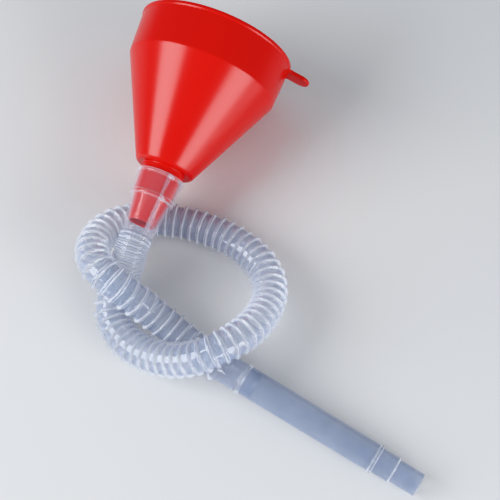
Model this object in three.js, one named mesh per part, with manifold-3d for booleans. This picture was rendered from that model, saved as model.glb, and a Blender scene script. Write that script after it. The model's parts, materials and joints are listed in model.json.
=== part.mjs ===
// Fuel funnel with a flexible clear hose, tied once in a loose overhand knot and lying on a flat surface.
// Millimetres, +Z up, surface at z = 0. The funnel lies on its side with its mouth towards +Y.
// The bowl and its neck, the strainer inside it, the cuff that grips the neck, the ribbed hose and the
// straight pouring nozzle are separate bodies.
import * as THREE from 'three';
import { mergeVertices } from 'three/addons/utils/BufferGeometryUtils.js';
import Module from 'manifold-3d';

const wasm = await Module();
wasm.setup();

// ---- driving dimensions ----------------------------------------------------------------------------
const FIT_GAP = 0.3;            // clearance between two pieces that touch
const WALL = 1.8;               // wall of the red moulding
const CLEAR_WALL = 1.1;         // wall of the clear moulding

// Bowl: radii, and depths measured from the rim along the funnel's axis.
const RIM_RADIUS = 65.6;
const SHOULDER_RADIUS = 63.8;   // the collar tapers from the rim to the shoulder
const LIP_PROUD = 0.7;
const LIP_HEIGHT = 3.4;
const COLLAR_DEPTH = 36.3;
const CONE_DEPTH = 121.3;
const CONE_FOOT_RADIUS = 24.3;
const SHOULDER_ROUND = 1.2;
const FOOT_ROUND = 3;
const SUMP_FLOOR = 2;           // thickness of the flat bottom that carries the strainer

// Neck: a wide upper band, a step, and a tapered end.
const NECK_TOP_RADIUS = 18;
const NECK_BAND_RADIUS = 16.7;
const NECK_STEP_DEPTH = 147;
const NECK_TAPER_RADIUS = 15.3;
const NECK_END_RADIUS = 11.8;
const NECK_END_DEPTH = 170;

// Hanging tab on the rim.
const TAB_REACH = 20;
const TAB_HALF_WIDTH = 8.5;
const TAB_THICKNESS = 2.8;
const TAB_ANGLE = 12;           // degrees below the horizontal, on the +X side
const TAB_DROOP = 6;            // degrees from the rim's plane towards the neck

// Strainer that drops onto the flat bottom of the cone.
const STRAINER_RADIUS = 21.3;
const STRAINER_BORE = 16.5;
const STRAINER_HEIGHT = 4;
const GAUZE_RADIUS = 18.4;
const GAUZE_BAR = 0.8;
const GAUZE_PITCH = 4.4;

// Cuff that pushes over the neck.
const CUFF_TOP_DEPTH = 127;
const CUFF_END_DEPTH = 180;
const CUFF_END_RADIUS = 12.7;
const CUFF_BEAD = 0.8;
const CUFF_BEAD_HEIGHT = 2.4;

// Hose and nozzle.
const HOSE_RADIUS = 14.8;       // over the ribs
const HOSE_WALL = 1.4;
const HOSE_SIDES = 12;
const HOSE_STEPS = 78;
const NOZZLE_RADIUS = 12.1;
const NOZZLE_WAIST_RADIUS = 11.5;
const NOZZLE_MID_RADIUS = 10.7;
const NOZZLE_TIP_RADIUS = 9.6;
const NOZZLE_RING = 1;
const NOZZLE_RING_HEIGHT = 2.2;
const NOZZLE_MID_START = 122;   // distances along the nozzle
const NOZZLE_TIP_START = 139.2;
const NOZZLE_LENGTH = 162;

// Pose of the funnel: it lies on its shoulder, the neck carried by the hose below it.
const RIM_CENTRE = new THREE.Vector3(-8.6, 80.9, 67.9);
const FUNNEL_TILT = THREE.MathUtils.degToRad(7.1);
const NOZZLE_TIP = new THREE.Vector3(270, -202.5, 10);

// Centreline of the hose, from the cuff to the nozzle: under itself, over, under the cuff, over, under.
const HOSE_ROUTE = [
  [-8.6, -98, 45.6], [-8.6, -105.9, 44.6], [-8.5, -113.8, 40.8], [-8.4, -121.9, 34],
  [-10.6, -132.3, 24.4], [-12, -145, 17.6], [-7.8, -158.3, 15.3], [3.1, -170.1, 15.9],
  [18.8, -178.7, 18.7], [37.1, -182.9, 24.4], [55.8, -182.6, 33], [72.7, -177.8, 42.8],
  [87.4, -167.3, 49.9], [99.6, -151.5, 48.2], [107.4, -132.1, 40.2], [109.4, -111.2, 31.3],
  [104.3, -92.4, 24.4], [92.1, -77.4, 19.8], [74.8, -67.5, 17.2], [54.3, -62.2, 15.9],
  [32.8, -61.2, 15.3], [12, -63.2, 15.2], [-6.9, -68.3, 15.4], [-23.1, -77.1, 19], [-34.9, -90, 26.2],
  [-39.9, -106.7, 34.8], [-36.7, -123.7, 44.6], [-25.3, -137.2, 51.5], [-8.3, -144.6, 50],
  [10.1, -147.7, 39.8], [27.7, -150.7, 28.4], [44.5, -155, 20.4], [61.2, -160.1, 17],
  [77.2, -165.1, 17.4], [91.7, -169.2, 19.7], [103, -171.8, 21.8], [111.1, -173.2, 21.3],
];

// ---- materials -------------------------------------------------------------------------------------
const RED = new THREE.MeshStandardMaterial({ color: 0xc8120a, roughness: 0.25, metalness: 0 });
const CLEAR = new THREE.MeshStandardMaterial({ color: 0xc9d4ea, roughness: 0.2, metalness: 0 });
const STRAINER_RED = new THREE.MeshStandardMaterial({ color: 0xb8140c, roughness: 0.35, metalness: 0 });
const WIRE = new THREE.MeshStandardMaterial({ color: 0xb9b6ad, roughness: 0.35, metalness: 1 });

// ---- helpers ---------------------------------------------------------------------------------------
// A closed outline from corners [radius, height, rounding], each rounded corner drawn as a short curve.
function roundedOutline(corners, curveSteps = 3) {
  const points = [];
  corners.forEach(([radius, height, rounding = 0], index) => {
    const corner = new THREE.Vector2(radius, height);
    if (rounding === 0) {
      points.push(corner);
      return;
    }
    const before = corners[(index + corners.length - 1) % corners.length];
    const after = corners[(index + 1) % corners.length];
    const start = towards(corner, before, rounding);
    const end = towards(corner, after, rounding);
    points.push(...new THREE.QuadraticBezierCurve(start, corner, end).getPoints(curveSteps));
  });
  points.push(points[0].clone());
  return points;
}

function towards(corner, [radius, height], distance) {
  const step = new THREE.Vector2(radius, height).sub(corner).setLength(distance);
  return corner.clone().add(step);
}

// A body of revolution about +Z.
function turned(corners, segments) {
  return new THREE.LatheGeometry(roundedOutline(corners), segments).rotateX(Math.PI / 2);
}

function toSolid(geometry) {
  const bare = geometry.clone();
  bare.deleteAttribute('normal');
  bare.deleteAttribute('uv');
  const merged = mergeVertices(bare, 1e-4);
  return new wasm.Manifold(new wasm.Mesh({
    numProp: 3,
    vertProperties: new Float32Array(merged.attributes.position.array),
    triVerts: new Uint32Array(merged.index.array),
  }));
}

function toGeometry(solid) {
  const mesh = solid.getMesh();
  const geometry = new THREE.BufferGeometry();
  geometry.setAttribute('position', new THREE.BufferAttribute(new Float32Array(mesh.vertProperties), 3));
  geometry.setIndex(new THREE.BufferAttribute(new Uint32Array(mesh.triVerts), 1));
  geometry.computeVertexNormals();
  return geometry;
}

function named(name, geometry, material) {
  const mesh = new THREE.Mesh(geometry, material);
  mesh.name = name;
  return mesh;
}

function polygon(radius, sides) {
  const points = [];
  for (let i = 0; i < sides; i += 1) {
    const angle = (2 * Math.PI * i) / sides;
    points.push(new THREE.Vector2(radius * Math.cos(angle), radius * Math.sin(angle)));
  }
  return points;
}

// ---- red bowl --------------------------------------------------------------------------------------
// Heights are negative depths below the rim. The outline runs up the outside and down the inside.
function bowlShell() {
  const sumpTop = -(CONE_DEPTH - SUMP_FLOOR);
  return turned([
    [NECK_END_RADIUS - WALL, -NECK_END_DEPTH],
    [NECK_END_RADIUS, -NECK_END_DEPTH, 0.8],
    [NECK_TAPER_RADIUS, -(NECK_STEP_DEPTH + 1.5)],
    [NECK_BAND_RADIUS, -NECK_STEP_DEPTH],
    [NECK_TOP_RADIUS, -CONE_DEPTH],
    [CONE_FOOT_RADIUS, -CONE_DEPTH, FOOT_ROUND],
    [SHOULDER_RADIUS, -COLLAR_DEPTH, SHOULDER_ROUND],
    [RIM_RADIUS, -LIP_HEIGHT],
    [RIM_RADIUS + LIP_PROUD, -LIP_HEIGHT + LIP_PROUD],
    [RIM_RADIUS + LIP_PROUD, 0, 0.6],
    [RIM_RADIUS - WALL, 0, 0.5],
    [SHOULDER_RADIUS - WALL, -COLLAR_DEPTH, SHOULDER_ROUND],
    [CONE_FOOT_RADIUS - WALL, sumpTop, 1],
    [NECK_TOP_RADIUS - WALL, sumpTop, 1],
    [NECK_BAND_RADIUS - WALL, -NECK_STEP_DEPTH + 1],
    [NECK_TAPER_RADIUS - WALL, -NECK_STEP_DEPTH - 0.5],
  ], 60);
}

function hangingTab() {
  const rootRadius = RIM_RADIUS - WALL / 2;
  const tipCentre = RIM_RADIUS + TAB_REACH - TAB_HALF_WIDTH;
  const outline = new THREE.Shape();
  outline.moveTo(0, -TAB_HALF_WIDTH - 1.5);
  outline.lineTo(tipCentre - rootRadius, -TAB_HALF_WIDTH);
  outline.absarc(tipCentre - rootRadius, 0, TAB_HALF_WIDTH, -Math.PI / 2, Math.PI / 2, false);
  outline.lineTo(0, TAB_HALF_WIDTH + 1.5);
  const options = { depth: TAB_THICKNESS, bevelEnabled: false, curveSegments: 12 };
  return new THREE.ExtrudeGeometry(outline, options)
    .translate(0, 0, -LIP_HEIGHT)
    .rotateY(THREE.MathUtils.degToRad(TAB_DROOP))
    .translate(rootRadius, 0, 0)
    .rotateZ(THREE.MathUtils.degToRad(TAB_ANGLE));
}

function funnelBowl() {
  const solid = toSolid(bowlShell()).add(toSolid(hangingTab()));
  return named('funnel_bowl', toGeometry(solid), RED);
}

// ---- strainer --------------------------------------------------------------------------------------
// A ring with an inner ledge, and a square gauze held on the ledge.
const STRAINER_FOOT = -(CONE_DEPTH - SUMP_FLOOR) + FIT_GAP;
const GAUZE_LEDGE = STRAINER_FOOT + STRAINER_HEIGHT / 2;

function strainerRing() {
  return named('strainer_ring', turned([
    [STRAINER_BORE, STRAINER_FOOT],
    [STRAINER_RADIUS, STRAINER_FOOT, 0.6],
    [STRAINER_RADIUS, STRAINER_FOOT + STRAINER_HEIGHT, 0.6],
    [GAUZE_RADIUS + FIT_GAP, STRAINER_FOOT + STRAINER_HEIGHT],
    [GAUZE_RADIUS + FIT_GAP, GAUZE_LEDGE],
    [STRAINER_BORE, GAUZE_LEDGE],
  ], 40), STRAINER_RED);
}

function strainerGauze() {
  const rim = toSolid(turned([
    [STRAINER_BORE - 0.6, 0],
    [GAUZE_RADIUS, 0],
    [GAUZE_RADIUS, GAUZE_BAR],
    [STRAINER_BORE - 0.6, GAUZE_BAR],
  ], 32));
  const reach = STRAINER_BORE;
  const barsEachSide = Math.floor(reach / GAUZE_PITCH);
  let solid = rim;
  for (let i = -barsEachSide; i <= barsEachSide; i += 1) {
    const offset = i * GAUZE_PITCH;
    const length = 2 * Math.sqrt(reach ** 2 - offset ** 2);
    const along = new THREE.BoxGeometry(length, GAUZE_BAR, GAUZE_BAR).translate(0, offset, GAUZE_BAR / 2);
    const across = along.clone().rotateZ(Math.PI / 2);
    solid = solid.add(toSolid(along)).add(toSolid(across));
  }
  const geometry = toGeometry(solid).translate(0, 0, GAUZE_LEDGE + FIT_GAP);
  return named('strainer_gauze', geometry, WIRE);
}

// ---- clear cuff ------------------------------------------------------------------------------------
// It follows the neck at a small gap: beaded mouth, wide band, step bead, taper down to the hose.
function hoseCuff() {
  const bandTop = NECK_TOP_RADIUS + FIT_GAP;
  const bandEnd = NECK_BAND_RADIUS + FIT_GAP;
  const taperTop = NECK_TAPER_RADIUS + FIT_GAP;
  const stepDepth = NECK_STEP_DEPTH + 1.5;
  return named('hose_cuff', turned([
    [CUFF_END_RADIUS - CLEAR_WALL, -CUFF_END_DEPTH],
    [CUFF_END_RADIUS, -CUFF_END_DEPTH],
    [taperTop + CLEAR_WALL, -(stepDepth + CUFF_BEAD)],
    [bandEnd + CLEAR_WALL + CUFF_BEAD, -stepDepth, 0.5],
    [bandEnd + CLEAR_WALL + CUFF_BEAD, -(stepDepth - CUFF_BEAD_HEIGHT), 0.5],
    [bandEnd + CLEAR_WALL, -(stepDepth - CUFF_BEAD_HEIGHT - CUFF_BEAD)],
    [bandTop + CLEAR_WALL, -(CUFF_TOP_DEPTH + CUFF_BEAD_HEIGHT + CUFF_BEAD)],
    [bandTop + CLEAR_WALL + CUFF_BEAD, -(CUFF_TOP_DEPTH + CUFF_BEAD_HEIGHT), 0.4],
    [bandTop + CLEAR_WALL + CUFF_BEAD, -CUFF_TOP_DEPTH, 0.6],
    [bandTop, -CUFF_TOP_DEPTH],
    [bandEnd, -(stepDepth - 1)],
    [taperTop, -(stepDepth + 0.5)],
    [NECK_END_RADIUS + FIT_GAP, -NECK_END_DEPTH],
  ], 40), CLEAR);
}

// ---- hose and nozzle -------------------------------------------------------------------------------
function hoseCurve() {
  const points = HOSE_ROUTE.map(([x, y, z]) => new THREE.Vector3(x, y, z));
  return new THREE.CatmullRomCurve3(points, false, 'catmullrom', 0.5);
}

function hose() {
  const section = new THREE.Shape(polygon(HOSE_RADIUS, HOSE_SIDES));
  section.holes.push(new THREE.Path(polygon(HOSE_RADIUS - HOSE_WALL, HOSE_SIDES).reverse()));
  const options = { steps: HOSE_STEPS, extrudePath: hoseCurve(), bevelEnabled: false };
  return named('hose', new THREE.ExtrudeGeometry(section, options), CLEAR);
}

function nozzleTube() {
  const ring = NOZZLE_RING;
  const ringEnd = FIT_GAP + NOZZLE_RING_HEIGHT;
  return named('nozzle_tube', turned([
    [NOZZLE_RADIUS - CLEAR_WALL, FIT_GAP],
    [NOZZLE_RADIUS + ring, FIT_GAP],
    [NOZZLE_RADIUS + ring, ringEnd, 0.4],
    [NOZZLE_RADIUS, ringEnd + ring],
    [NOZZLE_WAIST_RADIUS, NOZZLE_MID_START - ring],
    [NOZZLE_WAIST_RADIUS + ring, NOZZLE_MID_START, 0.6],
    [NOZZLE_WAIST_RADIUS + ring, NOZZLE_MID_START + NOZZLE_RING_HEIGHT, 0.6],
    [NOZZLE_MID_RADIUS, NOZZLE_MID_START + NOZZLE_RING_HEIGHT],
    [NOZZLE_MID_RADIUS, NOZZLE_TIP_START],
    [NOZZLE_TIP_RADIUS, NOZZLE_TIP_START + 1],
    [NOZZLE_TIP_RADIUS, NOZZLE_LENGTH, 0.4],
    [NOZZLE_TIP_RADIUS - CLEAR_WALL, NOZZLE_LENGTH],
    [NOZZLE_TIP_RADIUS - CLEAR_WALL, NOZZLE_TIP_START],
  ], 32), CLEAR);
}

// ---- assembly --------------------------------------------------------------------------------------
const onFunnelAxis = new THREE.Group();
onFunnelAxis.position.copy(RIM_CENTRE);
onFunnelAxis.rotation.x = FUNNEL_TILT - Math.PI / 2;
onFunnelAxis.add(funnelBowl(), strainerRing(), strainerGauze(), hoseCuff());

const onNozzleAxis = new THREE.Group();
const nozzleStart = new THREE.Vector3(...HOSE_ROUTE[HOSE_ROUTE.length - 1]);
const nozzleDirection = NOZZLE_TIP.clone().sub(nozzleStart).normalize();
onNozzleAxis.position.copy(nozzleStart);
onNozzleAxis.quaternion.setFromUnitVectors(new THREE.Vector3(0, 0, 1), nozzleDirection);
onNozzleAxis.add(nozzleTube());

const funnel = new THREE.Group();
funnel.add(onFunnelAxis, hose(), onNozzleAxis);

export default funnel;
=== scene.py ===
"""Looks for the fuel funnel with a flexible clear hose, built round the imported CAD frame. Metres."""
import json
import math
import random

import bmesh
import bpy
import numpy as np
from mathutils import Matrix, Vector


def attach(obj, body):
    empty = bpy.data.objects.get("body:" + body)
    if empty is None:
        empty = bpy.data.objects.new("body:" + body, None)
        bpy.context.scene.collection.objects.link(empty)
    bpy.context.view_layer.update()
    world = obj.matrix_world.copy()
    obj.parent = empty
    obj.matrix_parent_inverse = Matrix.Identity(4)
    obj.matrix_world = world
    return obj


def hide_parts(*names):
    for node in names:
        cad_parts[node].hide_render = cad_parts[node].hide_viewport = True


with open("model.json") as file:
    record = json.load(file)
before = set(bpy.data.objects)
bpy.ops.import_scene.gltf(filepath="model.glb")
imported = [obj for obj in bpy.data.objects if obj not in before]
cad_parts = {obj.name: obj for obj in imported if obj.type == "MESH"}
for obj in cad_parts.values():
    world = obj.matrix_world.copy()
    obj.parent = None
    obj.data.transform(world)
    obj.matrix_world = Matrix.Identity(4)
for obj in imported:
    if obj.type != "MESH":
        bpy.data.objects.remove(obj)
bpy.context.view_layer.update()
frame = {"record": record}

chance = random.Random(7)
MM = 0.001

# ---- sizes, in millimetres, as in the CAD ------------------------------------------------------------
FIT_GAP = 0.3
WALL = 1.8                  # red moulding
CLEAR_WALL = 1.1            # cuff and nozzle
HOSE_FILM = 0.7             # ribbed stretch

RIM_RADIUS = 65.6
RIM_FACE_RADIUS = 65        # where the frame's rim_face lies, from the funnel's axis
SHOULDER_RADIUS = 63.8
LIP_PROUD = 0.7
LIP_HEIGHT = 3.4
COLLAR_DEPTH = 36.3
CONE_DEPTH = 121.3
CONE_FOOT_RADIUS = 24.3
SUMP_FLOOR = 2
NECK_TOP_RADIUS = 18
NECK_BAND_RADIUS = 16.7
NECK_STEP_DEPTH = 147
NECK_TAPER_RADIUS = 15.3
NECK_END_RADIUS = 11.8
NECK_END_DEPTH = 170

TAB_REACH = 20
TAB_HALF_WIDTH = 8.5
TAB_THICKNESS = 2.8
TAB_ANGLE = math.radians(12)
TAB_DROOP = math.radians(6)

STRAINER_RADIUS = 21.3
STRAINER_BORE = 16.5
STRAINER_HEIGHT = 4
GAUZE_RADIUS = 18.4
WIRE_RADIUS = 0.16
WIRE_PITCH = 0.95

CUFF_TOP_DEPTH = 127
CUFF_END_DEPTH = 180
CUFF_END_RADIUS = 12.7
CUFF_BEAD = 0.8
CUFF_BEAD_HEIGHT = 2.4

RIB_RADIUS = 14.9           # over the ribs
BODY_RADIUS = 12.5          # between the ribs
RIB_HALF_WIDTH = 1.65       # at the foot of a rib
SMOOTH_END = 17             # plain tube between the last rib and the nozzle's ring
SEAM_PROUD = 0.16           # parting line of the clear moulding

NOZZLE_RADIUS = 12.1
NOZZLE_WAIST_RADIUS = 11.5
NOZZLE_MID_RADIUS = 10.7
NOZZLE_TIP_RADIUS = 9.6
NOZZLE_RING = 1
NOZZLE_RING_HEIGHT = 2.2
NOZZLE_MID_START = 122
NOZZLE_TIP_START = 139.2
NOZZLE_LENGTH = 162
NOZZLE_TIP = Vector((270, -202.5, 10))
SLEEVE_IN_NOZZLE = 13       # how far the hose's end runs on inside the nozzle

HOSE_ROUTE = [
    (-8.6, -98, 45.6), (-8.6, -105.9, 44.6), (-8.5, -113.8, 40.8), (-8.4, -121.9, 34),
    (-10.6, -132.3, 24.4), (-12, -145, 17.6), (-7.8, -158.3, 15.3), (3.1, -170.1, 15.9),
    (18.8, -178.7, 18.7), (37.1, -182.9, 24.4), (55.8, -182.6, 33), (72.7, -177.8, 42.8),
    (87.4, -167.3, 49.9), (99.6, -151.5, 48.2), (107.4, -132.1, 40.2), (109.4, -111.2, 31.3),
    (104.3, -92.4, 24.4), (92.1, -77.4, 19.8), (74.8, -67.5, 17.2), (54.3, -62.2, 15.9),
    (32.8, -61.2, 15.3), (12, -63.2, 15.2), (-6.9, -68.3, 15.4), (-23.1, -77.1, 19), (-34.9, -90, 26.2),
    (-39.9, -106.7, 34.8), (-36.7, -123.7, 44.6), (-25.3, -137.2, 51.5), (-8.3, -144.6, 50),
    (10.1, -147.7, 39.8), (27.7, -150.7, 28.4), (44.5, -155, 20.4), (61.2, -160.1, 17),
    (77.2, -165.1, 17.4), (91.7, -169.2, 19.7), (103, -171.8, 21.8), (111.1, -173.2, 21.3),
]
# Distance along the hose, and the spacing of its ribs there: closed up, at rest, pulled open.
RIB_PITCH = [(0, 3.1), (36, 3.3), (60, 7.4), (500, 7.7), (525, 9.3), (660, 9.4)]
FOOT_SUPPORT = 0.35         # keeps the tube between two ribs straight in its shading
FIRST_RIB = 2.2             # from the cuff
RIB_SHARE = 0.42            # half of a crowded rib, as a share of the spacing there
CREST_LOSS = 0.9            # how much smaller the ribs and the tube are at the cuff
BODY_LOSS = 0.5
RIB_GROWTH = 45             # the ribs grow from the cuff's size to their own over this distance
# How far along a rib's half width, and how high, from its foot to its crest.
RIB_SHAPE = [(-1, 0), (-0.84, 0.08), (-0.68, 0.4), (-0.52, 0.78), (-0.28, 0.96), (0, 1), (0.28, 0.96),
             (0.52, 0.78), (0.68, 0.4), (0.84, 0.08), (1, 0)]


# How many sides each round piece is drawn with.
BOWL_SIDES = 192
STRAINER_SIDES = 240
CUFF_SIDES = 128
NOZZLE_SIDES = 112
HOSE_SIDES = 40
WIRE_SIDES = 5
GAUZE_RIM_SIDES = 8
GAUZE_RIM_STEPS = 96

# ---- camera, lights and floor, in metres -------------------------------------------------------------
CAMERA_PLACE = (0.2403, -0.4948, 1.1251)
CAMERA_AIM = (0.0748, -0.0599, 0)
CAMERA_LENS = 104.4         # millimetres
PANEL_LENGTH = 1.2
PANEL_DISTANCE = 1.55
FLOOR_RADIUS = 5


def make_camera():
    data = bpy.data.cameras.new("camera")
    data.sensor_width = 36
    data.lens = CAMERA_LENS
    camera = bpy.data.objects.new("camera", data)
    bpy.context.scene.collection.objects.link(camera)
    camera.location = CAMERA_PLACE
    towards = Vector(CAMERA_AIM) - camera.location
    camera.rotation_euler = towards.to_track_quat("-Z", "Y").to_euler()
    bpy.context.scene.camera = camera


def make_panel(name, middle, edge_a, edge_b, radiance):
    """A soft panel whose long edges lie in the directions edge_a and edge_b, seen from middle."""
    a, b = Vector(edge_a).normalized(), Vector(edge_b).normalized()
    away = (a + b).normalized()
    across = (b - a).normalized()
    data = bpy.data.lights.new(name, "AREA")
    data.shape = "RECTANGLE"
    data.size = 2 * PANEL_DISTANCE * math.tan(a.angle(b) / 2)
    data.size_y = PANEL_LENGTH
    data.energy = radiance * math.pi * data.size * data.size_y
    panel = bpy.data.objects.new(name, data)
    bpy.context.scene.collection.objects.link(panel)
    turn = Matrix((across, away.cross(across), away)).transposed()
    panel.matrix_world = Matrix.Translation(Vector(middle) + away * PANEL_DISTANCE) @ turn.to_4x4()
    panel.visible_camera = False


def make_lights():
    make_panel("panel_left", (-0.022, 0, 0.1), (-0.434, -0.57, 0.698), (-0.865, -0.395, 0.31), 6.4)
    make_panel("panel_right", (0.02, 0, 0.09), (0.685, -0.549, 0.479), (0.94, -0.34, -0.02), 5.6)
    world = bpy.data.worlds.new("studio")
    world.use_nodes = True
    back = world.node_tree.nodes["Background"]
    back.inputs["Color"].default_value = (0.9, 0.94, 1, 1)
    back.inputs["Strength"].default_value = 0.42
    bpy.context.scene.world = world


def make_floor():
    bpy.ops.mesh.primitive_circle_add(vertices=96, radius=FLOOR_RADIUS, fill_type="NGON")
    floor = bpy.context.object
    floor.name = "floor"
    _, principled = new_material("floor_pale")
    principled.inputs["Base Color"].default_value = (0.7, 0.71, 0.72, 1)
    principled.inputs["Roughness"].default_value = 0.08
    floor.data.materials.append(bpy.data.materials["floor_pale"])


# ---- materials ---------------------------------------------------------------------------------------
def new_material(name):
    material = bpy.data.materials.new(name)
    material.use_nodes = True
    nodes = material.node_tree
    return nodes, nodes.nodes["Principled BSDF"]


def add_noise(nodes, scale, detail=3, stretch=(1, 1, 1)):
    """A noise that sticks to the piece, finer along an axis where stretch is larger."""
    place = nodes.nodes.new("ShaderNodeTexCoord")
    mapping = nodes.nodes.new("ShaderNodeMapping")
    noise = nodes.nodes.new("ShaderNodeTexNoise")
    mapping.inputs["Scale"].default_value = stretch
    noise.inputs["Scale"].default_value = scale
    noise.inputs["Detail"].default_value = detail
    nodes.links.new(place.outputs["Object"], mapping.inputs["Vector"])
    nodes.links.new(mapping.outputs["Vector"], noise.inputs["Vector"])
    return noise.outputs["Fac"]


def add_range(nodes, value, low, high, start=0.3, stop=0.7):
    spread = nodes.nodes.new("ShaderNodeMapRange")
    spread.inputs["From Min"].default_value = start
    spread.inputs["From Max"].default_value = stop
    spread.inputs["To Min"].default_value = low
    spread.inputs["To Max"].default_value = high
    nodes.links.new(value, spread.inputs["Value"])
    return spread.outputs["Result"]


def add_blend(nodes, factor, first, second):
    mix = nodes.nodes.new("ShaderNodeMix")
    mix.data_type = "RGBA"
    nodes.links.new(factor, mix.inputs["Factor"])
    for socket, colour in ((mix.inputs[6], first), (mix.inputs[7], second)):
        if isinstance(colour, tuple):
            socket.default_value = (*colour, 1)
        else:
            nodes.links.new(colour, socket)
    return mix.outputs[2]


def add_bump(nodes, principled, layers):
    """layers: (height, strength, distance in metres), coarse first."""
    normal = None
    for height, strength, distance in layers:
        bump = nodes.nodes.new("ShaderNodeBump")
        bump.inputs["Strength"].default_value = strength
        bump.inputs["Distance"].default_value = distance
        nodes.links.new(height, bump.inputs["Height"])
        if normal is not None:
            nodes.links.new(normal, bump.inputs["Normal"])
        normal = bump.outputs["Normal"]
    nodes.links.new(normal, principled.inputs["Normal"])


def red_plastic(name, dark, light, roughness, scuffed):
    """Glossy moulded plastic: cloudy pigment, paler worn edges, faint scuffs and flow waves."""
    nodes, principled = new_material(name)
    cloud = add_range(nodes, add_noise(nodes, 28, 4), 0, 1)
    pigment = add_blend(nodes, cloud, dark, light)
    edges = nodes.nodes.new("ShaderNodeNewGeometry").outputs["Pointiness"]
    worn = add_range(nodes, edges, 0, 0.25, 0.53, 0.62)
    colour = add_blend(nodes, worn, pigment, (0.85, 0.09, 0.05))
    nodes.links.new(colour, principled.inputs["Base Color"])
    scuffs = add_range(nodes, add_noise(nodes, 160, 5, (1, 0.12, 1)), roughness, scuffed, 0.5, 0.75)
    nodes.links.new(scuffs, principled.inputs["Roughness"])
    principled.inputs["IOR"].default_value = 1.5
    principled.inputs["Subsurface Weight"].default_value = 0.08
    principled.inputs["Subsurface Radius"].default_value = (0.006, 0.001, 0.0006)
    waves = add_noise(nodes, 45, 2, (1, 0.3, 1))
    grain = add_noise(nodes, 1400, 2)
    add_bump(nodes, principled, [(waves, 0.03, 0.0003), (grain, 0.03, 0.00003)])
    return bpy.data.materials[name]


def clear_plastic(name, dark, light, solid, solid_edge, ior):
    """Thin milky film: clear face on and denser edge on, with cloudy thickness, bloom and flow waves.

    The film lets most light by, which dims its gloss too, so its ior is above the plastic's own."""
    nodes, principled = new_material(name)
    cloud = add_range(nodes, add_noise(nodes, 55, 4), 0, 1)
    nodes.links.new(add_blend(nodes, cloud, dark, light), principled.inputs["Base Color"])
    bloom = add_range(nodes, add_noise(nodes, 130, 4), 0.04, 0.12, 0.42, 0.72)
    nodes.links.new(bloom, principled.inputs["Roughness"])
    principled.inputs["IOR"].default_value = ior
    weight = nodes.nodes.new("ShaderNodeLayerWeight")
    weight.inputs["Blend"].default_value = 0.35
    edge = add_range(nodes, weight.outputs["Facing"], solid, solid_edge, 0.25, 1)
    haze = add_range(nodes, add_noise(nodes, 60, 3), 0.85, 1.15)
    thickness = nodes.nodes.new("ShaderNodeMath")
    thickness.operation = "MULTIPLY"
    nodes.links.new(edge, thickness.inputs[0])
    nodes.links.new(haze, thickness.inputs[1])
    nodes.links.new(thickness.outputs[0], principled.inputs["Alpha"])
    waves = add_noise(nodes, 190, 2)
    grain = add_noise(nodes, 1500, 2)
    add_bump(nodes, principled, [(waves, 0.04, 0.0002), (grain, 0.03, 0.00002)])
    return bpy.data.materials[name]


def steel_wire():
    nodes, principled = new_material("steel_wire")
    stain = add_range(nodes, add_noise(nodes, 220, 4), 0, 1)
    nodes.links.new(add_blend(nodes, stain, (0.42, 0.4, 0.37), (0.72, 0.71, 0.68)),
                    principled.inputs["Base Color"])
    nodes.links.new(add_range(nodes, add_noise(nodes, 600, 3), 0.22, 0.5), principled.inputs["Roughness"])
    principled.inputs["Metallic"].default_value = 1
    add_bump(nodes, principled, [(add_noise(nodes, 4000, 2), 0.15, 0.00003)])
    return bpy.data.materials["steel_wire"]


# ---- shapes ------------------------------------------------------------------------------------------
def rounded(corners, steps=7):
    """Points along corners (radius, depth, rounding), open at both ends, rounded corners curved."""
    points = []
    for index, (radius, depth, rounding) in enumerate(corners):
        corner = Vector((radius, depth))
        if not rounding or index in (0, len(corners) - 1):
            points.append(corner)
            continue
        start = corner + (Vector(corners[index - 1][:2]) - corner).normalized() * rounding
        end = corner + (Vector(corners[index + 1][:2]) - corner).normalized() * rounding
        for step in range(steps + 1):
            t = step / steps
            points.append(start * (1 - t) ** 2 + corner * 2 * t * (1 - t) + end * t * t)
    return points


def supported(points, reach=0.5):
    """Adds points close to both ends of each long straight, so that shading stays in the corners."""
    result = [points[0]]
    for before, after in zip(points, points[1:]):
        step = after - before
        if step.length > 4 * reach:
            result += [before + step.normalized() * reach, after - step.normalized() * reach]
        result.append(after)
    return result


def new_piece(name, vertices, faces, materials, face_material=None):
    mesh = bpy.data.meshes.new(name)
    mesh.from_pydata([tuple(v) for v in vertices], [], faces)
    for material in materials:
        mesh.materials.append(material)
    if face_material is not None:
        mesh.polygons.foreach_set("material_index", face_material)
    outward(mesh)
    mesh.shade_smooth()
    piece = bpy.data.objects.new(name, mesh)
    bpy.context.scene.collection.objects.link(piece)
    return piece


def outward(mesh):
    shape = bmesh.new()
    shape.from_mesh(mesh)
    bmesh.ops.recalc_face_normals(shape, faces=shape.faces)
    shape.to_mesh(mesh)
    shape.free()


def angles_with_seams(count, seams=(), half_width=0.012):
    """Even angles round a section, with three close together at each parting line."""
    even = [2 * math.pi * k / count for k in range(count)]
    clear = math.pi / count
    kept = [a for a in even if all(abs(math.remainder(a - s, 2 * math.pi)) > clear for s in seams)]
    return sorted(kept + [s + d for s in seams for d in (-half_width, 0, half_width)])


def ring_faces(ring_count, column_count):
    """Quads between rings that close on themselves both ways."""
    faces = []
    for i in range(ring_count):
        j = (i + 1) % ring_count
        for k in range(column_count):
            m = (k + 1) % column_count
            here, there = i * column_count, j * column_count
            faces.append((here + k, there + k, there + m, here + m))
    return faces


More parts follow.
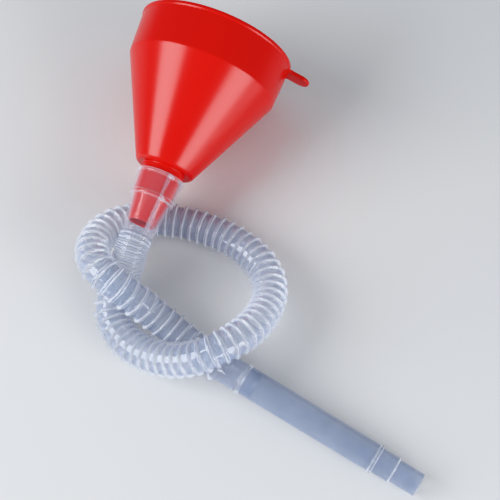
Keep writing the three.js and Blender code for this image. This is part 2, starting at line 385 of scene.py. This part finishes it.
def turned(name, outer, inner, place, materials, angles, swell=None, bands=()):
    """A hollow body of revolution: outer and inner outlines of (radius, depth) in mm, both top down.

    The outer skin takes the second material between each pair of depths in bands."""
    outer_points = supported(outer)
    outline = outer_points + supported(inner)[::-1]
    outer_count = len(outer_points)
    vertices = []
    for index, point in enumerate(outline):
        for angle in angles:
            grow = swell(angle, point, index < outer_count) if swell else 0
            radius = point.x + grow
            corner = Vector((radius * math.cos(angle), radius * math.sin(angle), -point.y))
            vertices.append(place @ (corner * MM))
    rows = [index < outer_count and any(top <= point.y <= bottom for top, bottom in bands)
            for index, point in enumerate(outline)]
    face_material = [int(row) for row in rows for _ in angles]
    return new_piece(name, vertices, ring_faces(len(outline), len(angles)), materials, face_material)


def seam_swell(seams):
    def swell(angle, point, is_outer):
        on_seam = any(abs(math.remainder(angle - s, 2 * math.pi)) < 1e-4 for s in seams)
        return SEAM_PROUD if is_outer and on_seam else 0
    return swell


# ---- the funnel's own axes, read from the frame --------------------------------------------------------
def mount(name):
    return next(m for m in frame["record"]["mounts"] if m["name"] == name)


def funnel_place():
    """Local +Z runs out of the mouth and local +Y points down, with the origin at the rim's centre."""
    rim = mount("rim_face")
    out = Vector(rim["axis"]).normalized()
    across = Vector((1, 0, 0))
    centre = Vector(rim["pos_m"]) + across * RIM_FACE_RADIUS * MM
    turn = Matrix((across, out.cross(across), out)).transposed().to_4x4()
    return Matrix.Translation(centre) @ turn


# ---- red bowl ----------------------------------------------------------------------------------------
def bowl_outlines():
    sump = CONE_DEPTH - SUMP_FLOOR
    outer = rounded([
        (RIM_RADIUS - WALL / 2, 0, 0),
        (RIM_RADIUS + LIP_PROUD, 0, 0.6),
        (RIM_RADIUS + LIP_PROUD, LIP_HEIGHT - LIP_PROUD, 0.5),
        (RIM_RADIUS, LIP_HEIGHT, 0.5),
        (SHOULDER_RADIUS, COLLAR_DEPTH, 1.1),
        (CONE_FOOT_RADIUS, CONE_DEPTH, 3),
        (NECK_TOP_RADIUS, CONE_DEPTH, 0.8),
        (NECK_BAND_RADIUS, NECK_STEP_DEPTH, 0.7),
        (NECK_TAPER_RADIUS, NECK_STEP_DEPTH + 1.5, 0.7),
        (NECK_END_RADIUS, NECK_END_DEPTH, 0.7),
        (NECK_END_RADIUS - WALL / 2, NECK_END_DEPTH, 0),
    ])
    inner = rounded([
        (RIM_RADIUS - WALL / 2 - 0.05, 0, 0),
        (RIM_RADIUS - WALL, 0, 0.5),
        (SHOULDER_RADIUS - WALL, COLLAR_DEPTH, 1.1),
        (CONE_FOOT_RADIUS - WALL, sump, 1.2),
        (NECK_TOP_RADIUS - WALL, sump, 0.8),
        (NECK_BAND_RADIUS - WALL, NECK_STEP_DEPTH - 1, 0.6),
        (NECK_TAPER_RADIUS - WALL, NECK_STEP_DEPTH + 0.5, 0.6),
        (NECK_END_RADIUS - WALL, NECK_END_DEPTH - 0.2, 0.2),
        (NECK_END_RADIUS - WALL / 2 - 0.05, NECK_END_DEPTH, 0),
    ])
    return outer, inner


def make_tab(place):
    """A flat tongue with rounded edges, sunk into the wall of the collar."""
    root = RIM_RADIUS - WALL / 2
    reach = TAB_REACH + RIM_RADIUS - TAB_HALF_WIDTH - root
    edge = 0.7
    curve = bpy.data.curves.new("tab", "CURVE")
    curve.dimensions = "2D"
    curve.fill_mode = "BOTH"
    curve.extrude = (TAB_THICKNESS / 2 - edge) * MM
    curve.bevel_depth = edge * MM
    curve.bevel_resolution = 4
    half = TAB_HALF_WIDTH - edge
    quarter = math.pi / 2
    tip = [(reach + half * math.cos(a), half * math.sin(a)) for a in np.linspace(-quarter, quarter, 33)]
    flare = [(0.8 - edge, -half - 1.2), (2.2, -half - 0.35), (4.5, -half)]
    outline = flare + tip + [(x, -y) for x, y in flare[::-1]]
    spline = curve.splines.new("POLY")
    spline.points.add(len(outline) - 1)
    spline.use_cyclic_u = True
    for point, (x, y) in zip(spline.points, outline):
        point.co = (x * MM, y * MM, 0, 1)
    shaped = bpy.data.objects.new("tab_curve", curve)
    bpy.context.scene.collection.objects.link(shaped)
    mesh = bpy.data.meshes.new_from_object(shaped)
    bpy.data.objects.remove(shaped)
    height = (TAB_THICKNESS / 2 - LIP_HEIGHT) * MM
    mesh.transform(place @ Matrix.Rotation(TAB_ANGLE, 4, "Z") @ Matrix.Translation((root * MM, 0, 0))
                   @ Matrix.Rotation(TAB_DROOP, 4, "Y") @ Matrix.Translation((0, 0, height)))
    tab = bpy.data.objects.new("tab", mesh)
    bpy.context.scene.collection.objects.link(tab)
    shape = bmesh.new()
    shape.from_mesh(mesh)
    bmesh.ops.remove_doubles(shape, verts=shape.verts, dist=1e-6)
    bmesh.ops.recalc_face_normals(shape, faces=shape.faces)
    shape.to_mesh(mesh)
    shape.free()
    return tab


def join_into(piece, other):
    """Unites other with piece, leaving one closed skin."""
    union = piece.modifiers.new("union", "BOOLEAN")
    union.operation = "UNION"
    union.solver = "EXACT"
    union.object = other
    graph = bpy.context.evaluated_depsgraph_get()
    joined = bpy.data.meshes.new_from_object(piece.evaluated_get(graph))
    piece.modifiers.clear()
    materials = list(piece.data.materials)
    piece.data = joined
    joined.materials.clear()
    for material in materials:
        joined.materials.append(material)
    joined.polygons.foreach_set("material_index", [0] * len(joined.polygons))
    joined.shade_smooth()
    joined.set_sharp_from_angle(angle=math.radians(40))
    bpy.data.objects.remove(other)


def make_bowl(place):
    red = red_plastic("red_plastic", (0.39, 0.003, 0.001), (0.45, 0.006, 0.002), 0.02, 0.06)
    outer, inner = bowl_outlines()
    bowl = turned("bowl", outer, inner, place, [red], angles_with_seams(BOWL_SIDES))
    join_into(bowl, make_tab(place))
    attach(bowl, "bowl")
    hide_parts("funnel_bowl")


# ---- strainer ----------------------------------------------------------------------------------------
def make_strainer(place):
    foot = CONE_DEPTH - SUMP_FLOOR - FIT_GAP
    top = foot - STRAINER_HEIGHT
    ledge = foot - STRAINER_HEIGHT / 2
    middle = (STRAINER_BORE + STRAINER_RADIUS) / 2
    outer = rounded([
        (middle, top, 0), (STRAINER_RADIUS, top, 0.6), (STRAINER_RADIUS, foot, 0.6), (middle, foot, 0),
    ])
    inner = rounded([
        (middle - 0.05, top, 0), (GAUZE_RADIUS + FIT_GAP, top, 0.25), (GAUZE_RADIUS + FIT_GAP, ledge, 0.1),
        (STRAINER_BORE, ledge, 0.25), (STRAINER_BORE, foot, 0.25), (middle - 0.05, foot, 0),
    ])
    plastic = red_plastic("strainer_plastic", (0.42, 0.004, 0.002), (0.5, 0.008, 0.004), 0.2, 0.32)
    notches = 24

    def grip(angle, point, is_outer):
        proud = point.x > STRAINER_RADIUS - 0.1
        return -0.35 * max(0, math.cos(notches * angle)) ** 6 if proud else 0
    angles = angles_with_seams(STRAINER_SIDES)
    ring = turned("strainer_ring_visual", outer, inner, place, [plastic], angles, grip)
    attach(ring, "strainer")
    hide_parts("strainer_ring")
    make_gauze(place, ledge - FIT_GAP - 2 * WIRE_RADIUS - 0.15)


def wire_tube(vertices, faces, points, radius, sides):
    """Appends a closed tube along points, whose sections stand across its chord."""
    chord = (points[-1] - points[0]).normalized()
    up = Vector((0, 0, 1))
    side = chord.cross(up)
    first = len(vertices)
    for point in points:
        for k in range(sides):
            angle = 2 * math.pi * k / sides
            vertices.append(point + (side * math.cos(angle) + up * math.sin(angle)) * radius)
    for i in range(len(points) - 1):
        for k in range(sides):
            m = (k + 1) % sides
            a, b = first + i * sides, first + (i + 1) * sides
            faces.append((a + k, a + m, b + m, b + k))
    last = len(vertices) - sides
    faces.append(tuple(first + k for k in reversed(range(sides))))
    faces.append(tuple(last + k for k in range(sides)))


def make_gauze(place, depth):
    """Woven wires, over one and under the next, with a rolled edge that holds them."""
    vertices, faces = [], []
    count = int((GAUZE_RADIUS - 0.6) / WIRE_PITCH)
    for direction in (0, 1):
        for i in range(-count, count + 1):
            offset = i * WIRE_PITCH
            reach = math.sqrt((GAUZE_RADIUS - 0.3) ** 2 - offset ** 2)
            steps = max(8, int(2 * reach / (WIRE_PITCH / 2)))
            points = []
            for s in np.linspace(-reach, reach, steps):
                phase = math.pi * (s / WIRE_PITCH + i + direction)
                height = WIRE_RADIUS * 0.95 * math.cos(phase)
                x, y = (s, offset) if direction == 0 else (offset, s)
                points.append(Vector((x, y, -depth + height)) * MM)
            wire_tube(vertices, faces, points, WIRE_RADIUS * MM, WIRE_SIDES)
    first = len(vertices)
    for i in range(GAUZE_RIM_STEPS):
        turn = 2 * math.pi * i / GAUZE_RIM_STEPS
        for k in range(GAUZE_RIM_SIDES):
            angle = 2 * math.pi * k / GAUZE_RIM_SIDES
            radius = GAUZE_RADIUS - 0.6 + 0.5 * math.cos(angle)
            height = -depth + 0.42 * math.sin(angle)
            vertices.append(Vector((radius * math.cos(turn), radius * math.sin(turn), height)) * MM)
    faces += [tuple(first + v for v in face) for face in ring_faces(GAUZE_RIM_STEPS, GAUZE_RIM_SIDES)]
    gauze = new_piece("gauze", [place @ v for v in vertices], faces, [steel_wire()])
    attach(gauze, "strainer")
    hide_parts("strainer_gauze")


# ---- cuff --------------------------------------------------------------------------------------------
def make_cuff(place, materials):
    step = NECK_STEP_DEPTH + 1.5
    band_top = NECK_TOP_RADIUS + FIT_GAP
    band_end = NECK_BAND_RADIUS + FIT_GAP
    taper_top = NECK_TAPER_RADIUS + FIT_GAP
    wall, bead, tall = CLEAR_WALL, CUFF_BEAD, CUFF_BEAD_HEIGHT
    outer = rounded([
        (band_top + wall / 2, CUFF_TOP_DEPTH, 0),
        (band_top + wall + bead, CUFF_TOP_DEPTH, 0.6),
        (band_top + wall + bead, CUFF_TOP_DEPTH + tall, 0.5),
        (band_top + wall, CUFF_TOP_DEPTH + tall + bead, 0.4),
        (band_end + wall, step - tall - bead, 0.4),
        (band_end + wall + bead, step - tall, 0.5),
        (band_end + wall + bead, step, 0.5),
        (taper_top + wall, step + bead, 0.5),
        (CUFF_END_RADIUS, CUFF_END_DEPTH, 0),
    ])
    inner = rounded([
        (band_top + wall / 2 - 0.02, CUFF_TOP_DEPTH, 0),
        (band_top, CUFF_TOP_DEPTH + 0.1, 0.1),
        (band_end, step - 1, 0.5),
        (taper_top, step + 0.5, 0.5),
        (NECK_END_RADIUS + FIT_GAP, NECK_END_DEPTH, 0.5),
        (CUFF_END_RADIUS - wall, CUFF_END_DEPTH, 0),
    ])
    seams = (math.radians(-62), math.radians(118))
    mouth = CUFF_TOP_DEPTH
    # The beads take the paler bead film: painted highlight along each bead.
    beads = [(mouth, mouth + 0.7), (mouth + tall - 0.4, mouth + tall + bead),
             (step - tall - bead, step - tall + 0.4), (step - 0.4, step + bead)]
    angles = angles_with_seams(CUFF_SIDES, seams)
    cuff = turned("cuff", outer, inner, place, materials, angles, seam_swell(seams), beads)
    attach(cuff, "hose_assembly")
    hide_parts("hose_cuff")
    return cuff


# ---- nozzle ------------------------------------------------------------------------------------------
def nozzle_place():
    start = Vector(HOSE_ROUTE[-1])
    along = (NOZZLE_TIP - start).normalized()
    turn = Vector((0, 0, -1)).rotation_difference(along).to_matrix().to_4x4()
    return Matrix.Translation(start * MM) @ turn


def make_nozzle(materials):
    wall, ring, tall = CLEAR_WALL, NOZZLE_RING, NOZZLE_RING_HEIGHT
    start, middle, end = FIT_GAP, NOZZLE_MID_START, NOZZLE_TIP_START
    outer = rounded([
        (NOZZLE_RADIUS - wall / 2, start, 0),
        (NOZZLE_RADIUS + ring, start, 0.4),
        (NOZZLE_RADIUS + ring, start + tall, 0.6),
        (NOZZLE_RADIUS, start + tall + ring, 0.5),
        (NOZZLE_WAIST_RADIUS + 0.1, middle - 5, 0.5),
        (NOZZLE_WAIST_RADIUS - 0.25, middle - 4, 0.6),
        (NOZZLE_WAIST_RADIUS, middle - ring, 0.3),
        (NOZZLE_WAIST_RADIUS + ring, middle, 0.5),
        (NOZZLE_WAIST_RADIUS + ring, middle + tall, 0.6),
        (NOZZLE_MID_RADIUS, middle + tall, 0.5),
        (NOZZLE_MID_RADIUS, end - 2.5, 0.4),
        (NOZZLE_MID_RADIUS + 0.3, end - 1.2, 0.4),
        (NOZZLE_MID_RADIUS + 0.3, end, 0.4),
        (NOZZLE_TIP_RADIUS, end + 1, 0.4),
        (NOZZLE_TIP_RADIUS, NOZZLE_LENGTH, 0.45),
        (NOZZLE_TIP_RADIUS - wall / 2, NOZZLE_LENGTH, 0),
    ])
    inner = rounded([
        (NOZZLE_RADIUS - wall / 2 - 0.02, start, 0),
        (NOZZLE_RADIUS - wall, start + 0.1, 0.1),
        (NOZZLE_WAIST_RADIUS - wall, middle + tall - 1, 0.5),
        (NOZZLE_MID_RADIUS - wall, middle + tall, 0.5),
        (NOZZLE_MID_RADIUS - wall, end, 0.5),
        (NOZZLE_TIP_RADIUS - wall, end + 1, 0.5),
        (NOZZLE_TIP_RADIUS - wall, NOZZLE_LENGTH - 0.2, 0.2),
        (NOZZLE_TIP_RADIUS - wall / 2 - 0.02, NOZZLE_LENGTH, 0),
    ])
    seams = (math.radians(35), math.radians(215))
    plain = seam_swell(seams)
    crinkle = [chance.uniform(-0.3, 0.25) for _ in range(36)]

    def swell(angle, point, is_outer):
        grow = plain(angle, point, is_outer)
        if is_outer and middle - 0.5 < point.y < middle + tall + 0.5 and point.x > NOZZLE_WAIST_RADIUS + 0.4:
            place_on_ring = (angle % (2 * math.pi)) / (2 * math.pi) * len(crinkle)
            low = int(place_on_ring) % len(crinkle)
            blend = place_on_ring - int(place_on_ring)
            grow += crinkle[low] * (1 - blend) + crinkle[(low + 1) % len(crinkle)] * blend
        return grow

    # The rings take the paler rib film: painted highlight along each ring.
    rings = [(start, start + 0.5), (start + tall - 0.4, start + tall + ring),
             (middle - ring, middle + 0.4), (middle + tall - 0.5, middle + tall + 0.3), (end - 0.5, end + 1)]
    angles = angles_with_seams(NOZZLE_SIDES, seams)
    nozzle = turned("nozzle", outer, inner, nozzle_place(), materials, angles, swell, rings)
    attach(nozzle, "hose_assembly")
    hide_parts("nozzle_tube")
    return nozzle


# ---- ribbed hose ---------------------------------------------------------------------------------------
def smooth_route(per_span=40):
    """The CAD's own curve through the route's points, then straight on into the nozzle, in millimetres."""
    p = np.array(HOSE_ROUTE, float)
    p = np.vstack([2 * p[0] - p[1], p, 2 * p[-1] - p[-2]])
    t = np.linspace(0, 1, per_span, endpoint=False)[:, None]
    spans = []
    for i in range(1, len(p) - 2):
        spans.append(0.5 * (2 * p[i] + (p[i + 1] - p[i - 1]) * t
                            + (2 * p[i - 1] - 5 * p[i] + 4 * p[i + 1] - p[i + 2]) * t ** 2
                            + (3 * p[i] - p[i - 1] - 3 * p[i + 1] + p[i + 2]) * t ** 3))
    start = p[-2]
    nozzle_axis = np.array((NOZZLE_TIP - Vector(start)).normalized())
    sleeve = start + nozzle_axis * np.linspace(0, SLEEVE_IN_NOZZLE, 9)[:, None]
    return np.vstack(spans + [sleeve])


def carried_frames(line):
    """Directions along, and two across, the line, the two across carried along it without twist."""
    along = np.gradient(line, axis=0)
    along /= np.linalg.norm(along, axis=1)[:, None]
    side = np.zeros_like(along)
    side[0] = np.cross(along[0], (0, 0, 1))
    side[0] /= np.linalg.norm(side[0])
    for i in range(1, len(line)):
        side[i] = side[i - 1] - along[i] * (side[i - 1] @ along[i])
        side[i] /= np.linalg.norm(side[i])
    return along, side, np.cross(along, side)


def rib_places(length):
    places, at = [], FIRST_RIB
    while at < length - SMOOTH_END:
        places.append(at)
        pitch = np.interp(at, *zip(*RIB_PITCH))
        at += pitch * chance.uniform(0.97, 1.03)
    return places


def hose_rings(length):
    """(distance, radius, is on a rib's flank, lean) of each ring of the outer skin, from cuff to nozzle."""
    rings = [(0, CUFF_END_RADIUS, False, 0)]
    places = rib_places(length)
    for at in places:
        pitch = np.interp(at, *zip(*RIB_PITCH))
        half = min(RIB_HALF_WIDTH, pitch * RIB_SHARE)
        small = max(0, 1 - at / RIB_GROWTH)
        straight = pitch > 2 * (half + FOOT_SUPPORT)
        crest = RIB_RADIUS - CREST_LOSS * small + chance.uniform(-0.18, 0)
        foot = BODY_RADIUS - BODY_LOSS * small
        lean = chance.uniform(-0.02, 0.02)
        if straight:
            rings.append((at - half - FOOT_SUPPORT, foot, False, lean))
        for along, height in RIB_SHAPE:
            rings.append((at + along * half, foot + (crest - foot) * height, 0 < height < 1, lean))
        if straight:
            rings.append((at + half + FOOT_SUPPORT, foot, False, lean))
    smooth = length - SMOOTH_END + 6
    sleeve = NOZZLE_RADIUS - CLEAR_WALL - FIT_GAP
    rings += [(smooth, NOZZLE_RADIUS, False, 0), (length - 4, NOZZLE_RADIUS, False, 0),
              (length, NOZZLE_RADIUS, False, 0), (length + 0.15, sleeve, False, 0),
              (length + SLEEVE_IN_NOZZLE, sleeve, False, 0)]
    return rings


def make_hose(body_material, rib_painted_highlight_material):
    line = smooth_route()
    steps = np.linalg.norm(np.diff(line, axis=0), axis=1)
    distance = np.concatenate([[0], np.cumsum(steps)])
    length = float(distance[-1]) - SLEEVE_IN_NOZZLE
    along, side, other = carried_frames(line)
    seams = (math.radians(25), math.radians(205))
    angles = angles_with_seams(HOSE_SIDES, seams, 0.02)
    outer = hose_rings(length)
    inner = [(s, r - HOSE_FILM, rib, lean) for s, r, rib, lean in reversed(outer)]
    vertices = []
    for index, (s, radius, rib, lean) in enumerate(outer + inner):
        centre, t, n, b = (np.array([np.interp(s, distance, v[:, i]) for i in range(3)])
                           for v in (line, along, side, other))
        for angle in angles:
            on_seam = index < len(outer) and any(abs(angle - a) < 1e-4 for a in seams)
            r = radius + (SEAM_PROUD if on_seam else 0)
            out = n * math.cos(angle) + b * math.sin(angle)
            vertices.append((centre + out * r + t * lean * r * math.cos(angle - 1.1)) * MM)
    faces = ring_faces(len(outer + inner), len(angles))
    # Faces on the ribs' flanks take the paler film: painted highlight along each rib.
    painted_highlight_flank = [rib for _, _, rib, _ in outer + inner]
    face_material = []
    for i in range(len(painted_highlight_flank)):
        face_material += [int(painted_highlight_flank[i] and painted_highlight_flank[(i + 1) % len(painted_highlight_flank)])] * len(angles)
    hose = new_piece("ribbed_hose", vertices, faces, [body_material, rib_painted_highlight_material], face_material)
    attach(hose, "hose_assembly")
    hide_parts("hose")


# ---- scene -------------------------------------------------------------------------------------------
make_camera()
place = funnel_place()
clear_cuff = clear_plastic("clear_cuff", (0.66, 0.64, 0.78), (0.76, 0.74, 0.86), 0.065, 0.55, 3.4)
# The cuff's beads take a paler, denser film than the cuff: the paler colour is painted highlight for the
# bright lines along their edges.
clear_bead = clear_plastic("clear_bead", (0.74, 0.74, 0.86), (0.84, 0.84, 0.94), 0.2, 0.85, 2.5)
clear_nozzle = clear_plastic("clear_nozzle", (0.27, 0.36, 0.56), (0.35, 0.44, 0.64), 0.24, 0.8, 2.3)
clear_body = clear_plastic("clear_body", (0.36, 0.44, 0.62), (0.48, 0.56, 0.74), 0.25, 0.75, 2.3)
# The ribs' flanks and the nozzle's rings take a paler, denser film than the tube. The film is milky, but its
# paler colour is painted highlight, standing in for the bright lines along the ribs and rings.
clear_rib = clear_plastic("clear_rib", (0.84, 0.88, 0.96), (0.9, 0.93, 0.98), 0.24, 0.98, 2.3)
cuff = make_cuff(place, [clear_cuff, clear_bead])
nozzle = make_nozzle([clear_nozzle, clear_rib])
make_hose(clear_body, clear_rib)
make_bowl(place)
make_strainer(place)
make_lights()
make_floor()
bpy.context.scene.view_settings.view_transform = "Khronos PBR Neutral"
bpy.context.scene.cycles.transparent_max_bounces = 32
